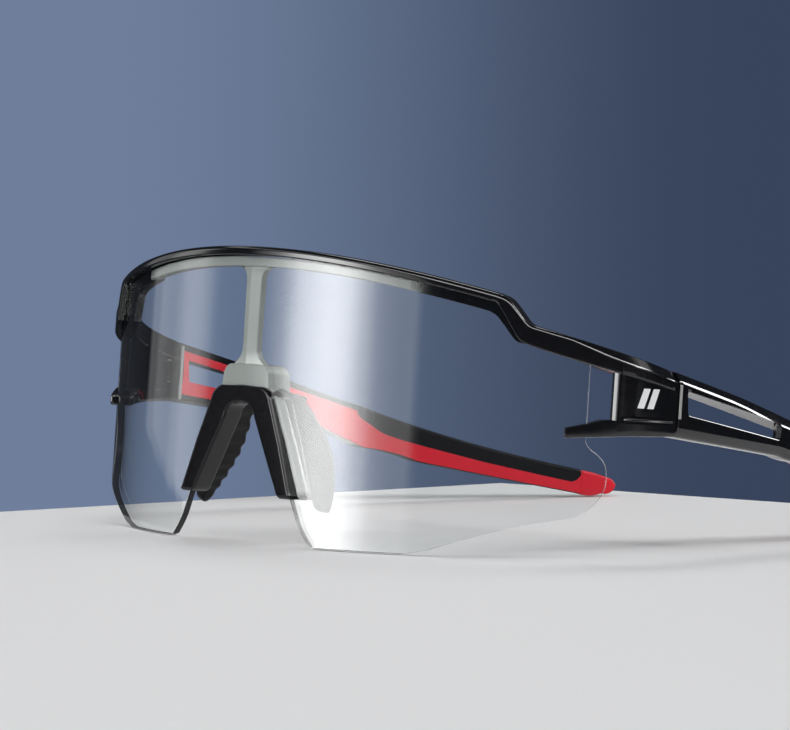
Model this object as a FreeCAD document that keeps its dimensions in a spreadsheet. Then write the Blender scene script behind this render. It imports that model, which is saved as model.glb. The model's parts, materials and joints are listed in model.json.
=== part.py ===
"""Wraparound sport sunglasses: a shield lens in a half-rim frame, with folding temples.

Millimetres. Every piece is drawn upright, with the lens as a standing cylinder: X runs to the
wearer's left, Y to the back of the head and Z up, and the lens touches the plane Y = 0 in the middle.
Each piece's Placement then leans it back onto the lens foot and the temple tips, as it lies on a table.
"""

import FreeCAD, Part
import math
import os
import Sketcher
from FreeCAD import Placement, Rotation, Vector

SIZES = {
    # the lens, a standing cylinder, and the leaning of the whole at rest
    "lens_radius": 95.0,
    "lens_thick": 1.6,
    "lean": 3.8,
    "lens_rear": 66.5,
    "lobe_out": 69.5,
    # the brow bar: its middle height, the radius of its top line and its depth each side of the lens
    "brow_top": 57.7,
    "brow_bow": 217.0,
    "front_lip": 1.4,
    "rear_lip": 1.8,
    "front_drop": 1.75,
    "rear_drop": 3.9,
    "lens_seat": 0.9,
    "brow_half": 53.9,
    "arm_angle": 41.5,
    "wall_angle": 46.7,
    "finger_angle": 42.2,
    "carrier_half": 38.0,
    # the end block and the hinge in it
    "block_half": 73.2,
    "block_back": 45.2,
    "block_top": 38.7,
    "block_foot": 26.2,
    "pin_off": 69.4,
    "pin_back": 43.2,
    "knuckle": 2.0,
    "slot_foot": 29.95,
    "slot_tall": 5.0,
    "gap": 0.3,
    "screw": 0.8,
    "screw_head": 1.5,
    "head_tall": 0.8,
    "head_foot": 38.0,
    "screw_foot": 26.7,
    "insert": 1.3,
    "insert_foot": 26.6,
    "insert_tall": 2.6,
    "bore_play": 0.05,
    # the temples: three arcs in plan, from the hinge to the tip
    "tip_back": 166.0,
    "temple_out": 73.2,
    "temple_split": 69.6,
    "temple_in": 68.0,
    "tip_out": 53.2,
    "tip_split": 51.7,
    "tip_in": 50.2,
    "heel_long": 3.0,
    "inlay_start": 48.5,
    "grip_start": 97.0,
    "grip_end": 157.0,
    "core_thick": 0.6,
    # the nose saddle and its pads
    "saddle_front": -0.4,
    "saddle_back": 5.2,
    "splay": 10.0,
    "leg_angle": 27.0,
    "saddle_foot": 9.2,
    "pad_thick": 2.2,
    "pad_gap": 0.7,
    "pad_mid": 10.9,
    "pad_height": 19.2,
    "pad_core": 0.6,
}

doc = FreeCAD.newDocument("sport_sunglasses")
dim = doc.addObject("Spreadsheet::Sheet", "dim")
for row, (alias, size) in enumerate(SIZES.items(), start=1):
    dim.set(f"A{row}", alias)
    dim.set(f"B{row}", str(size))
    dim.setAlias(f"B{row}", alias)
doc.recompute()

UP, BACK, LEFT = Vector(0, 0, 1), Vector(0, 1, 0), Vector(1, 0, 0)
# drawing planes: where a sketch lies, and the way its prism grows
PLAN = Placement(), UP
FRONT = Placement(Vector(), Rotation(LEFT, 90)), BACK
SIDE = Placement(Vector(), Rotation(Vector(1, 1, 1), 120)), LEFT


def size_of(expression):
    """The value of a number or of an expression over the sheet's cells."""
    return float(dim.evalExpression(str(expression)))


def add_edge(sketch, start, end, radius):
    """A line, or an arc that turns left for a positive radius and right for a negative one."""
    if not radius:
        return sketch.addGeometry(Part.LineSegment(start, end)), 1, 2
    half = (end - start) * 0.5
    rise = math.sqrt(radius**2 - half.Length**2)
    side = Vector(-half.y, half.x, 0).normalize()
    centre = start + half + side * math.copysign(rise, radius)
    circle = Part.Circle(centre, UP, abs(radius))
    first, last = (start, end) if radius > 0 else (end, start)
    arc = Part.ArcOfCircle(circle, circle.parameter(first), circle.parameter(last))
    ends = (1, 2) if radius > 0 else (2, 1)
    return (sketch.addGeometry(arc), *ends)


def draw(sketch, points):
    """Closes a loop of edges. A point is (across, up) or (across, up, radius of the edge after it)."""
    corners = [Vector(size_of(point[0]), size_of(point[1]), 0) for point in points]
    radii = [size_of(point[2]) if len(point) > 2 else 0 for point in points]
    edges = []
    for index, corner in enumerate(corners):
        after = corners[(index + 1) % len(corners)]
        edges.append(add_edge(sketch, corner, after, radii[index]))
    for index, (edge, first, _) in enumerate(edges):
        before, _, last = edges[index - 1]
        sketch.addConstraint(Sketcher.Constraint("Coincident", before, last, edge, first))
        for way, kind in enumerate(("DistanceX", "DistanceY")):
            place = corners[index][way]
            rule = sketch.addConstraint(Sketcher.Constraint(kind, -1, 1, edge, first, place))
            bind(sketch, rule, points[index][way])
        if radii[index]:
            rule = sketch.addConstraint(Sketcher.Constraint("Radius", edge, abs(radii[index])))
            bind(sketch, rule, f"abs({points[index][2]})")
    return sketch


def bind(sketch, rule, expression):
    """Ties a constraint to the sheet, unless it is a plain number."""
    if any(alias in str(expression) for alias in SIZES):
        sketch.setExpression(f"Constraints[{rule}]", in_sheet(expression))


def in_sheet(expression):
    """Puts the sheet's name before each of its aliases."""
    out = []
    word = ""
    for letter in str(expression) + " ":
        if letter.isalpha() or letter == "_":
            word += letter
            continue
        out.append(f"dim.{word}" if word in SIZES else word)
        out.append(letter)
        word = ""
    return "".join(out).strip()


def prism(name, plane, points, low, high):
    """An outline on a plane, pulled along the plane's normal from low to high."""
    place, normal = plane
    sketch = doc.addObject("Sketcher::SketchObject", name + "_outline")
    sketch.Placement = place
    draw(sketch, points)
    solid = doc.addObject("Part::Extrusion", name)
    solid.Base = sketch
    solid.DirMode = "Custom"
    solid.Dir = normal
    solid.setExpression("LengthFwd", in_sheet(high))
    solid.setExpression("LengthRev", in_sheet(f"-({low})"))
    solid.Solid = True
    return solid


def common(name, *shapes):
    both = doc.addObject("Part::MultiCommon", name)
    both.Shapes = list(shapes)
    return both


def fuse(name, *shapes):
    joined = doc.addObject("Part::MultiFuse", name)
    joined.Shapes = list(shapes)
    joined.Refine = True
    return joined


def cut(name, base, *tools):
    """Takes the tools out of the base, one after another."""
    for number, tool in enumerate(tools):
        left_over = doc.addObject("Part::Cut", name if number == len(tools) - 1 else f"{name}_{number}")
        left_over.Base = base
        left_over.Tool = tool
        base = left_over
    return base


def mirrored(name, source):
    """The same shape on the wearer's other side."""
    other = doc.addObject("Part::Mirroring", name)
    other.Source = source
    other.Normal = LEFT
    return other


def both_halves(name, half):
    return fuse(name, half, mirrored(name + "_other_half", half))


def round_bar(name, radius, foot, tall, across, back):
    """An upright cylinder."""
    bar = doc.addObject("Part::Cylinder", name)
    bar.setExpression("Radius", in_sheet(radius))
    bar.setExpression("Height", in_sheet(tall))
    bar.setExpression("Placement.Base.x", in_sheet(across))
    bar.setExpression("Placement.Base.y", in_sheet(back))
    bar.setExpression("Placement.Base.z", in_sheet(foot))
    return bar


def block(name, corner, sizes):
    """A box from its lowest corner, with its length, width and height."""
    box = doc.addObject("Part::Box", name)
    for edge, expression in zip(("Length", "Width", "Height"), sizes):
        box.setExpression(edge, in_sheet(expression))
    for axis, expression in zip("xyz", corner):
        box.setExpression(f"Placement.Base.{axis}", in_sheet(expression))
    return box


def sector(name, inner, outer, start, stop, low, high):
    """A slice of a ring about the lens axis, between two angles from the middle of the face."""

    def spot(radius, angle):
        return f"({radius}) * sin({angle})", f"lens_radius - ({radius}) * cos({angle})"

    points = [
        (*spot(outer, start), outer),
        spot(outer, stop),
        (*spot(inner, stop), f"-({inner})"),
        spot(inner, start),
    ]
    return prism(name, PLAN, points, low, high)


# ---- the shield lens: half an outline through a slice of the ring, and its mirror image ----

HIGH, LOW = 70, -2
DEEP, SHALLOW = 40, -4
lens_back = "lens_radius - lens_thick"
lens_top = "brow_top - lens_seat"


def bowed(across, top, bow="brow_bow"):
    """The height of a line that falls away from the middle as a circle of the brow's bow."""
    return f"{top} - {bow} + sqrt({bow}^2 - ({across})^2)"


lens_outline = [
    (0, lens_top, "-brow_bow"),
    ("brow_half - 0.6", bowed("brow_half - 0.6", lens_top)),
    (56.6, 45.4),
    (58.2, 44.4),
    ("lens_rear", 42.2),
    ("lens_rear", 24.2, 4),
    (67.8, 22.3, -5),
    ("lobe_out", 18.4, -9),
    (67.4, 11.4, -6),
    (63.7, 9.2, 160),
    (42.7, 1.6, -60),
    (30, -0.5),
    (21.8, -0.5, -4),
    (18.8, 1.1, -22),
    (16.2, 4.6),
    (14.2, 9.2),
    (9.9, 19.2),
    (5.5, 26.6, 6.6),
    (0, 29.6),
]
lens_slice = sector("lens_slice", lens_back, "lens_radius", 0, 50, LOW, HIGH)
lens_half = common("lens_half", lens_slice, prism("lens_face", FRONT, lens_outline, SHALLOW, DEEP))
lens_blank = both_halves("lens_blank", lens_half)
table = doc.addObject("Part::Box", "table")
table.Length, table.Width, table.Height = 400, 300, 60
lean_back = Rotation(LEFT, -size_of("lean"))
table.Placement = Placement(Vector(), lean_back.inverted()) * Placement(Vector(-200, -50, -60), Rotation())
shield_lens = cut("shield_lens", lens_blank, table)

# ---- the frame: a front lip and a rear lip either side of the lens, and an end block ----

frame_front_radius = "lens_radius + front_lip"
frame_back_radius = f"{lens_back} - rear_lip"
brow_upper_line = [
    (0, "brow_top", "-brow_bow"),
    ("brow_half", bowed("brow_half", "brow_top")),
    (55.0, 49.7),
    (57.3, 46.0),
    (58.4, 45.6),
    (70.5, 42.3),
    (70.5, 37.8),
    (58.6, 41.6),
]
front_drop_line = "brow_top - front_drop"
rear_drop_line = "brow_top - rear_drop"
front_lip_face = brow_upper_line + [
    (56.9, 42.4),
    ("brow_half - 0.9", bowed("brow_half - 0.9", front_drop_line), "brow_bow"),
    (0, front_drop_line),
]
rear_lip_face = brow_upper_line + [
    (55.7, 42.2),
    (52.3, bowed(52.3, rear_drop_line), "brow_bow"),
    ("carrier_half", bowed("carrier_half", rear_drop_line)),
    ("carrier_half", bowed("carrier_half", front_drop_line), "brow_bow"),
    (0, front_drop_line),
]
front_lip = common(
    "front_lip",
    sector("front_lip_slice", lens_back, frame_front_radius, 0, "arm_angle", LOW, HIGH),
    prism("front_lip_shape", FRONT, front_lip_face, SHALLOW, DEEP),
)
rear_lip = common(
    "rear_lip",
    sector("rear_lip_slice", frame_back_radius, lens_back, 0, "arm_angle", LOW, HIGH),
    prism("rear_lip_shape", FRONT, rear_lip_face, SHALLOW, DEEP),
)
block_plan = [
    (f"({frame_front_radius}) * sin(arm_angle)", f"lens_radius - ({frame_front_radius}) * cos(arm_angle)", 28.5),
    ("block_half", "block_back"),
    ("pin_off", "block_back", "knuckle"),
    ("pin_off - knuckle", "pin_back", -24),
    (f"({frame_back_radius}) * sin(arm_angle)", f"lens_radius - ({frame_back_radius}) * cos(arm_angle)"),
]
block_side = [
    (20, 45.1),
    (28, 42.8),
    ("block_back", "block_top"),
    ("block_back", "block_foot"),
    (28, 25.4),
    (20, 24.1),
]
end_block = common(
    "end_block",
    prism("block_plan", PLAN, block_plan, LOW, HIGH),
    prism("block_side", SIDE, block_side, 50, 80),
)
vent = common(
    "vent",
    sector("vent_slice", 88, 100, 38, "wall_angle", LOW, HIGH),
    prism("vent_face", FRONT, [(60, 41.2), (71.5, 37.6), (71.5, 29.4), (64.6, 26.8), (56, 26)], SHALLOW, DEEP),
)
finger_end = sector("finger_end", 88, 100, 38, "finger_angle", 20, 38)
hinge_slot = block(
    "hinge_slot",
    (60, "pin_back - knuckle - 0.2", "slot_foot"),
    ("pin_off + knuckle + 0.2 - 60", 10, "slot_tall"),
)
screw_bore = round_bar("screw_bore", "screw", 20, 30, "pin_off", "pin_back")
head_bore = round_bar("head_bore", "screw_head", "head_foot", 10, "pin_off", "pin_back")
insert_bore = round_bar("insert_bore", "insert", 20, "insert_foot + insert_tall - 20", "pin_off", "pin_back")
frame_half = cut(
    "frame_half",
    fuse("frame_blank", front_lip, rear_lip, end_block),
    vent,
    finger_end,
    hinge_slot,
    screw_bore,
    head_bore,
    insert_bore,
    lens_half,
)
frame_front = both_halves("frame_front", frame_half)

# ---- the hinge's screw and its threaded insert, each turned about the pin ----


def turned(name, profile):
    """A body turned about the pin: the profile holds radii and heights."""
    body = doc.addObject("PartDesign::Body", name)
    plane = next(item for item in body.Origin.OriginFeatures if item.Role == "XZ_Plane")
    sketch = body.newObject("Sketcher::SketchObject", name + "_profile")
    sketch.AttachmentSupport = [(plane, "")]
    sketch.MapMode = "FlatFace"
    draw(sketch, profile)
    turn = body.newObject("PartDesign::Revolution", name + "_turn")
    turn.Profile = sketch
    turn.ReferenceAxis = (sketch, ["V_Axis"])
    turn.Angle = 360
    body.Tip = turn
    return body


screw_profile = [
    (0, "screw_foot"),
    ("screw", "screw_foot"),
    ("screw", "head_foot"),
    ("screw_head", "head_foot"),
    ("screw_head", "head_foot + head_tall"),
    (0, "head_foot + head_tall"),
]
insert_profile = [
    ("screw", "insert_foot"),
    ("insert", "insert_foot"),
    ("insert", "insert_foot + insert_tall"),
    ("screw", "insert_foot + insert_tall"),
]
hinge_screw = turned("hinge_screw", screw_profile)
hinge_insert = turned("hinge_insert", insert_profile)

# ---- the translucent carrier: a strip under the brow, a post and a roof over the saddle ----

carrier_face = [
    (0, front_drop_line, "-brow_bow"),
    ("carrier_half", bowed("carrier_half", front_drop_line)),
    ("carrier_half", bowed("carrier_half", rear_drop_line), "brow_bow"),
    (1.9, bowed(1.9, rear_drop_line)),
    (1.9, 37.2, 3),
    (4.6, 34.9, -2.2),
    (7.2, 33.0),
    (8.3, 30.8),
    (10.7, 27.6),
    (14.1, 19.4),
    (17.6, 9.8),
    (14.9, 9.4),
    (9.8, 19.3),
    (5.6, 26.4, 6.6),
    (0, 29.5),
]
carrier_slab = common(
    "carrier_slab",
    sector("carrier_slice", frame_back_radius, lens_back, 0, 40, LOW, HIGH),
    prism("carrier_face", FRONT, carrier_face, SHALLOW, DEEP),
)

# ---- the nose saddle: an arch lofted from its front to a wider back ----


def arch_face(name, depth, wider):
    """Half the saddle's arch on a plane of its own, each leg further out by the given amount."""
    sketch = doc.addObject("Sketcher::SketchObject", name)
    sketch.Placement = Placement(Vector(0, size_of(depth), 0), Rotation(LEFT, 90))
    points = [
        (0, 30.7),
        (f"4.6 + {wider}", 30.5, -3.6),
        (f"8.4 + {wider}", 28.0),
        (f"11.9 + {wider}", 19.5),
        (f"15.6 + {wider}", "saddle_foot"),
        (f"11.9 + {wider}", "saddle_foot"),
        (f"7.8 + {wider}", 17.2),
        (f"4.1 + {wider}", 24.4, 3.0),
        (f"1.6 + {wider}", 27.1),
        (0, 27.3),
    ]
    return draw(sketch, points)


saddle_loft = doc.addObject("Part::Loft", "saddle_loft")
saddle_loft.Sections = [
    arch_face("saddle_front_face", "saddle_front", 0),
    arch_face("saddle_back_face", "saddle_back", "(saddle_back - saddle_front) * tan(splay)"),
]
saddle_loft.Solid = True
saddle_loft.Ruled = True
nose_saddle = both_halves("nose_saddle", cut("saddle_half", saddle_loft, lens_half))
nose_bridge_carrier = both_halves("nose_bridge_carrier", cut("carrier_cut", carrier_slab, saddle_loft))

# ---- the nose pads: a drop-shaped wing hinged along each leg, with a bendable plate inside ----

pad_middle = Placement(
    Vector(size_of("pad_mid"), size_of("saddle_back"), size_of("pad_height")),
    Rotation(BACK, -size_of("leg_angle")) * Rotation(UP, -size_of("splay")),
)
pad_outline = [
    ("pad_gap", -12.4, 1.9),
    (3.6, -13.8, 24),
    (7.7, -2.5, 24),
    (3.9, 11.2, 2),
    ("pad_gap", 10.2),
]
pad_blank = prism("pad_blank", SIDE, pad_outline, "-pad_thick / 2", "pad_thick / 2")
pad_blank.Placement = pad_middle
core_outline = [(1.4, -8), (5.2, -7), (5.6, 2), (3.0, 8), (1.4, 8)]
pad_core = prism("pad_core", SIDE, core_outline, "-pad_core / 2", "pad_core / 2")
pad_core.Placement = pad_middle
nose_pad = cut("nose_pad", pad_blank, pad_core)
nose_pad_core = common("nose_pad_core", pad_core, pad_blank)

# ---- the temples: layers between arcs in plan, cut to one side outline ----


def temple_arc(hinge_across, tip_across):
    """The radius of an arc that starts straight back at the hinge and ends at the tip."""
    reach = "(tip_back - block_back)"
    inward = f"(({hinge_across}) - ({tip_across}))"
    return f"({reach}^2 + {inward}^2) / (2 * {inward})"


def layer(name, outer, inner, start, stop):
    """The space between two temple arcs, from one distance back to another. An arc is (hinge, tip)."""

    def at(arc, back):
        radius = temple_arc(*arc)
        return f"{arc[0]} - ({radius}) + sqrt(({radius})^2 - ({back} - block_back)^2)"

    points = [
        (at(outer, start), start, temple_arc(*outer)),
        (at(outer, stop), stop),
        (at(inner, stop), stop, f"-({temple_arc(*inner)})"),
        (at(inner, start), start),
    ]
    return prism(name, PLAN, points, LOW, HIGH)


OUTSIDE = "temple_out", "tip_out"
SPLIT = "temple_split", "tip_split"
INSIDE = "temple_in", "tip_in"
temple_start = "block_back + gap"
temple_side = [
    (45, 38.75),
    (66.7, 34.5),
    (80.8, 31.3),
    (98.7, 27.2, 500),
    (157.5, 16.3, -30),
    (164.0, 15.0, -2),
    (165.9, 13.4, -2.4),
    (162.5, 11.4, -6),
    (157.5, 10.9),
    (113.7, 16.1, 60),
    (98.5, 18.5),
    (86.4, 22.6, -30),
    (79, 23.6),
    (45, 26.15),
]
inlay_side = [
    ("inlay_start", 36.6),
    (66.7, 33.1),
    (80.8, 29.9),
    (96.0, 26.6),
    (96.0, 25.4),
    (103.8, 21.8),
    (109.6, 20.5),
    (131.1, 16.9),
    ("grip_end - 1.5", 13.4),
    ("grip_end", 15.4),
    ("grip_end", 20),
    (168, 20),
    (168, 8),
    (150, 8),
    (113.7, 12),
    (92, 17),
    (84, 22.6),
    (76, 25.2),
    ("inlay_start", 27.6),
]
window_side = [(48.4, 29.5), (47.9, 35.0), (75.4, 29.3), (75.0, 26.7)]
temple_shape = prism("temple_shape", SIDE, temple_side, 40, 80)
temple_window = prism("temple_window", SIDE, window_side, 40, 80)
inlay_shape = prism("inlay_shape", SIDE, inlay_side, 40, 80)
grip_zone = block("grip_zone", (40, "grip_start", 0), (40, "grip_end - grip_start", 40))
tip_zone = block("tip_zone", (40, "grip_end", 0), (40, 20, 40))
outer_layer = layer("outer_layer", OUTSIDE, SPLIT, temple_start, 168)
inner_layer = layer("inner_layer", SPLIT, INSIDE, "inlay_start", 168)
whole_layer = layer("whole_layer", OUTSIDE, INSIDE, "grip_start", 168)

heel = block(
    "heel",
    ("pin_off - knuckle + 0.2", temple_start, "block_foot"),
    ("temple_split + 1 - pin_off + knuckle", "heel_long", "block_top - block_foot"),
)
tongue_foot = "slot_foot + gap"
tongue_tall = "slot_tall - 2 * gap"
tongue_radius = "knuckle - 0.1"
tongue = fuse(
    "tongue",
    round_bar("tongue_end", tongue_radius, tongue_foot, tongue_tall, "pin_off", "pin_back"),
    block(
        "tongue_root",
        ("pin_off - knuckle + 0.1", "pin_back", tongue_foot),
        (f"2 * ({tongue_radius})", "block_back + gap + 1 - pin_back", tongue_tall),
    ),
)
pin_hole = round_bar("pin_hole", "screw + bore_play", 20, 30, "pin_off", "pin_back")
tenon_side = prism("tenon_side", SIDE, [(96, 25), (108, 23), (108, 20.4), (96, 21.6)], 40, 80)
tenon = common("tenon", layer("tenon_layer", OUTSIDE, SPLIT, 96, 108), tenon_side)
tenon_skin = layer("tenon_skin", OUTSIDE, ("temple_out - 1", "tip_out - 0.7"), 97, 110)
slim_tenon = cut("slim_tenon", tenon, tenon_skin)
arm_blank = common("arm_blank", outer_layer, temple_shape)
arm_front = cut("arm_front", arm_blank, grip_zone, tip_zone)
heel_trimmed = common("heel_trimmed", heel, temple_shape)
temple_arm = cut(
    "temple_arm",
    fuse("arm_joined", arm_front, heel_trimmed, tongue, slim_tenon),
    temple_window,
    pin_hole,
)
inlay_layers = fuse(
    "inlay_layers",
    common("inlay_inner", inner_layer, inlay_shape),
    common("inlay_tip", outer_layer, tip_zone),
)
temple_inlay = cut(
    "temple_inlay",
    common("inlay_blank", inlay_layers, temple_shape),
    temple_window,
)
core_strip = common(
    "core_strip",
    layer(
        "core_layer",
        ("temple_out - 1.9", "tip_out - 0.7"),
        ("temple_out - 1.9 - core_thick", "tip_out - 0.7 - core_thick"),
        109,
        150,
    ),
    prism("core_side", SIDE, [(109, 22.6), (150, 15.9), (150, 14.4), (109, 20.2)], 40, 80),
)
ear_grip = cut(
    "ear_grip",
    common("grip_blank", whole_layer, temple_shape, grip_zone),
    inlay_layers,
    slim_tenon,
    core_strip,
)
temple_core = common("temple_core", core_strip, grip_zone)

# ---- naming, the leaning back at rest, the checks and the export ----

on_pin = Placement(Vector(size_of("pin_off"), size_of("pin_back"), 0), Rotation())
middle_pieces = {
    "frame_front": frame_front,
    "nose_bridge_carrier": nose_bridge_carrier,
    "shield_lens": shield_lens,
    "nose_saddle": nose_saddle,
}
sided_pieces = {
    "nose_pad": nose_pad,
    "nose_pad_core": nose_pad_core,
    "temple_arm": temple_arm,
    "temple_inlay": temple_inlay,
    "ear_grip": ear_grip,
    "temple_core": temple_core,
    "hinge_screw": hinge_screw,
    "hinge_insert": hinge_insert,
}
pieces = dict(middle_pieces)
for name, piece in sided_pieces.items():
    if name in ("hinge_screw", "hinge_insert"):
        piece.Placement = on_pin
    pieces[name + "_left"] = piece
    pieces[name + "_right"] = mirrored(name + "_mirror", piece)
doc.recompute()

box = FreeCAD.BoundBox()
for piece in pieces.values():
    leaned = piece.Shape.copy()
    leaned.Placement = Placement(Vector(), lean_back) * leaned.Placement
    box.add(leaned.optimalBoundingBox(False))
rest = Placement(Vector(0, -box.Center.y, -box.ZMin), lean_back)

mirrors = [piece for piece in pieces.values() if piece.TypeId == "Part::Mirroring"]
for name, piece in pieces.items():
    piece.Label = name
    if piece not in mirrors:
        piece.Placement = rest * piece.Placement
doc.recompute()

faulty = [thing.Name for thing in doc.Objects if {"Invalid", "Error"} & set(thing.State)]
for name, piece in pieces.items():
    if piece.Shape.isNull() or not piece.Shape.isValid() or len(piece.Shape.Solids) != 1:
        faulty.append(name)
if faulty:
    raise SystemExit(f"failed: {faulty}")

os.makedirs("parts", exist_ok=True)
for name, piece in pieces.items():
    piece.Shape.exportStep(f"parts/{name}.step")
print(len(pieces), "pieces; rest shift", [round(number, 3) for number in rest.Base])
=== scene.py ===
"""Looks for the wraparound sport sunglasses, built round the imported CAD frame."""

import json
import math

import bmesh
import bpy
from mathutils import Matrix, Vector

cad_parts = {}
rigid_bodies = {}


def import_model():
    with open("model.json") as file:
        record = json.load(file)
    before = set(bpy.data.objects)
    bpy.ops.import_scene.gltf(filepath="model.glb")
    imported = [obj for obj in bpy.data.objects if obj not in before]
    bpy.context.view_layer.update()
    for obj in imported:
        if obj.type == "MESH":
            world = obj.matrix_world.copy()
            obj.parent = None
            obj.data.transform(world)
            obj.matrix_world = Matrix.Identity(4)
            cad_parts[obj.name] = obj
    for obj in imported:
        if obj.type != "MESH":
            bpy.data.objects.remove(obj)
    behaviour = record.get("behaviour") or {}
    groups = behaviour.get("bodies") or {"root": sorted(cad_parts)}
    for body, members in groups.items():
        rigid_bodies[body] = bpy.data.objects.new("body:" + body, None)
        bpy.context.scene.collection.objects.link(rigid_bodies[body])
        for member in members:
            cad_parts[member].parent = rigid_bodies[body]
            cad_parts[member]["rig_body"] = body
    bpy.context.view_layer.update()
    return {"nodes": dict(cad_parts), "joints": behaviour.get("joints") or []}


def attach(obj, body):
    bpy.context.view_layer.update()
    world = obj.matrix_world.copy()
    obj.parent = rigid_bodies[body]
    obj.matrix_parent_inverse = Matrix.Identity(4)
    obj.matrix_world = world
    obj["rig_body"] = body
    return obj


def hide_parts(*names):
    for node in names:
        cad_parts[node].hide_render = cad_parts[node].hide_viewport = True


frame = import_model()

MM = 0.001
SIDES = {"left": 1, "right": -1}
scene = bpy.context.scene

# ---- the camera, the light and the floor, in metres ----

CAMERA_TARGET = Vector((-53.58, 14.42, 30.69)) * MM
CAMERA_AZIMUTH = math.radians(44.926)
CAMERA_ELEVATION = math.radians(2.362)
CAMERA_ROLL = math.radians(1.129)
CAMERA_DISTANCE = 1.0
CAMERA_LENS, CAMERA_SENSOR = 209.31, 36.0


def direction(azimuth, elevation):
    """The unit vector from the object towards an azimuth and an elevation in radians."""
    level = math.cos(elevation)
    return Vector((math.sin(azimuth) * level, -math.cos(azimuth) * level, math.sin(elevation)))


def make_camera():
    data = bpy.data.cameras.new("camera")
    data.lens = CAMERA_LENS
    data.sensor_width = CAMERA_SENSOR
    data.clip_start = 0.01
    data.clip_end = 60.0
    camera = bpy.data.objects.new("camera", data)
    scene.collection.objects.link(camera)
    back = direction(CAMERA_AZIMUTH, CAMERA_ELEVATION)
    right = Vector((math.cos(CAMERA_AZIMUTH), math.sin(CAMERA_AZIMUTH), 0))
    turn = Matrix((right, back.cross(right), back)).transposed().to_4x4()
    roll = Matrix.Rotation(CAMERA_ROLL, 4, "Z")
    place = CAMERA_TARGET + back * CAMERA_DISTANCE
    camera.matrix_world = Matrix.Translation(place) @ turn @ roll
    scene.camera = camera


def new_nodes(material):
    """Empties a material's or a world's node tree and returns a maker of nodes and a maker of links."""
    material.use_nodes = True
    tree = material.node_tree
    tree.nodes.clear()
    return lambda kind: tree.nodes.new("ShaderNode" + kind), tree.links.new


# How bright each ring of light is, by azimuth in degrees. The low ring shows in the lens, the edge ring on
# the brow's edges and the crease ring on the left temple's creases. The high ring lights floor and tops.
LOW_RING = [
    (-180, 0.0), (-89, 0.0), (-88, 0.65), (-76, 0.6), (-71, 1.7), (-63, 1.7), (-58, 0.15), (-52, 0.0),
    (-43, 0.0), (-38, 1.0), (-33, 2.6), (-28, 7.4), (-22, 9.8), (-18, 10.6), (-13.5, 9.0), (-10, 5.6),
    (-6, 2.4), (-2.5, 1.4), (0.5, 1.0), (5, 1.1), (6, 0.0), (180, 0.0),
]
EDGE_RING = [(-180, 0), (6, 0), (12, 4), (92, 4.5), (101, 0.4), (143, 0.4), (149, 0), (180, 0)]
CREASE_RING = [(-180, 0), (146, 0), (151, 17), (166, 17), (169, 0), (180, 0)]
HIGH_RING = [
    (-180, 0.5), (-120, 0.5), (-60, 1.5), (-20, 5.0), (10, 13.0), (145, 13.0), (165, 1.0), (180, 0.5),
]
RING_SIDES = 120


def ring_wall(name, low, high, radius):
    """The mesh of an upright wall all round the object, from one height to another."""
    turns = [math.radians(360 * step / RING_SIDES) for step in range(RING_SIDES)]
    shape = bmesh.new()
    rims = []
    for height in (low, high):
        rims.append([shape.verts.new((radius * math.sin(a), -radius * math.cos(a), height)) for a in turns])
    for step in range(RING_SIDES):
        shape.faces.new((rims[0][step - 1], rims[0][step], rims[1][step], rims[1][step - 1]))
    mesh = bpy.data.meshes.new(name)
    shape.to_mesh(mesh)
    shape.free()
    return mesh


def ring_glow(name, table):
    """A see-through glow whose brightness follows a table of (azimuth, brightness)."""
    material = bpy.data.materials.new(name)
    node, link = new_nodes(material)
    place, apart, angle, behind = node("TexCoord"), node("SeparateXYZ"), node("Math"), node("Math")
    angle.operation = "ARCTAN2"
    behind.operation = "MULTIPLY"
    behind.inputs[1].default_value = -1
    link(place.outputs["Object"], apart.inputs[0])
    link(apart.outputs["Y"], behind.inputs[0])
    link(apart.outputs["X"], angle.inputs[0])
    link(behind.outputs[0], angle.inputs[1])
    spread, ramp = node("MapRange"), node("ValToRGB")
    spread.inputs["From Min"].default_value = -math.pi
    spread.inputs["From Max"].default_value = math.pi
    link(angle.outputs[0], spread.inputs["Value"])
    link(spread.outputs["Result"], ramp.inputs[0])
    stops = ramp.color_ramp.elements
    while len(stops) < len(table):
        stops.new(0.5)
    peak = max(bright for _, bright in table)
    for stop, (azimuth, bright) in zip(stops, table):
        stop.position = (azimuth + 180) / 360
        stop.color = (bright / peak, bright / peak, bright / peak, 1)
    glow, clear = node("Emission"), node("BsdfTransparent")
    both, out = node("AddShader"), node("OutputMaterial")
    glow.inputs["Strength"].default_value = peak
    link(ramp.outputs["Color"], glow.inputs["Color"])
    link(glow.outputs[0], both.inputs[0])
    link(clear.outputs[0], both.inputs[1])
    link(both.outputs[0], out.inputs["Surface"])
    return material


def make_ring(name, low, high, table, radius=1.6, gloss_only=False):
    """A ring of light that the camera doesn't see. If it is for gloss only, it lights no matt surface."""
    mesh = ring_wall(name, low, high, radius)
    mesh.materials.append(ring_glow(name, table))
    ring = bpy.data.objects.new(name, mesh)
    scene.collection.objects.link(ring)
    ring.visible_camera = False
    ring.visible_transmission = False
    ring.visible_shadow = False
    ring.visible_diffuse = not gloss_only


BACK_LIGHT_AIM = Vector((0, 0, 0.03))
BACK_LIGHT_AZIMUTH, BACK_LIGHT_ELEVATION, BACK_LIGHT_DISTANCE = math.radians(225), math.radians(60), 1.2
BACK_LIGHT_WIDTH, BACK_LIGHT_HEIGHT, BACK_LIGHT_RADIANCE = 0.55, 0.4, 5.0


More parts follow.
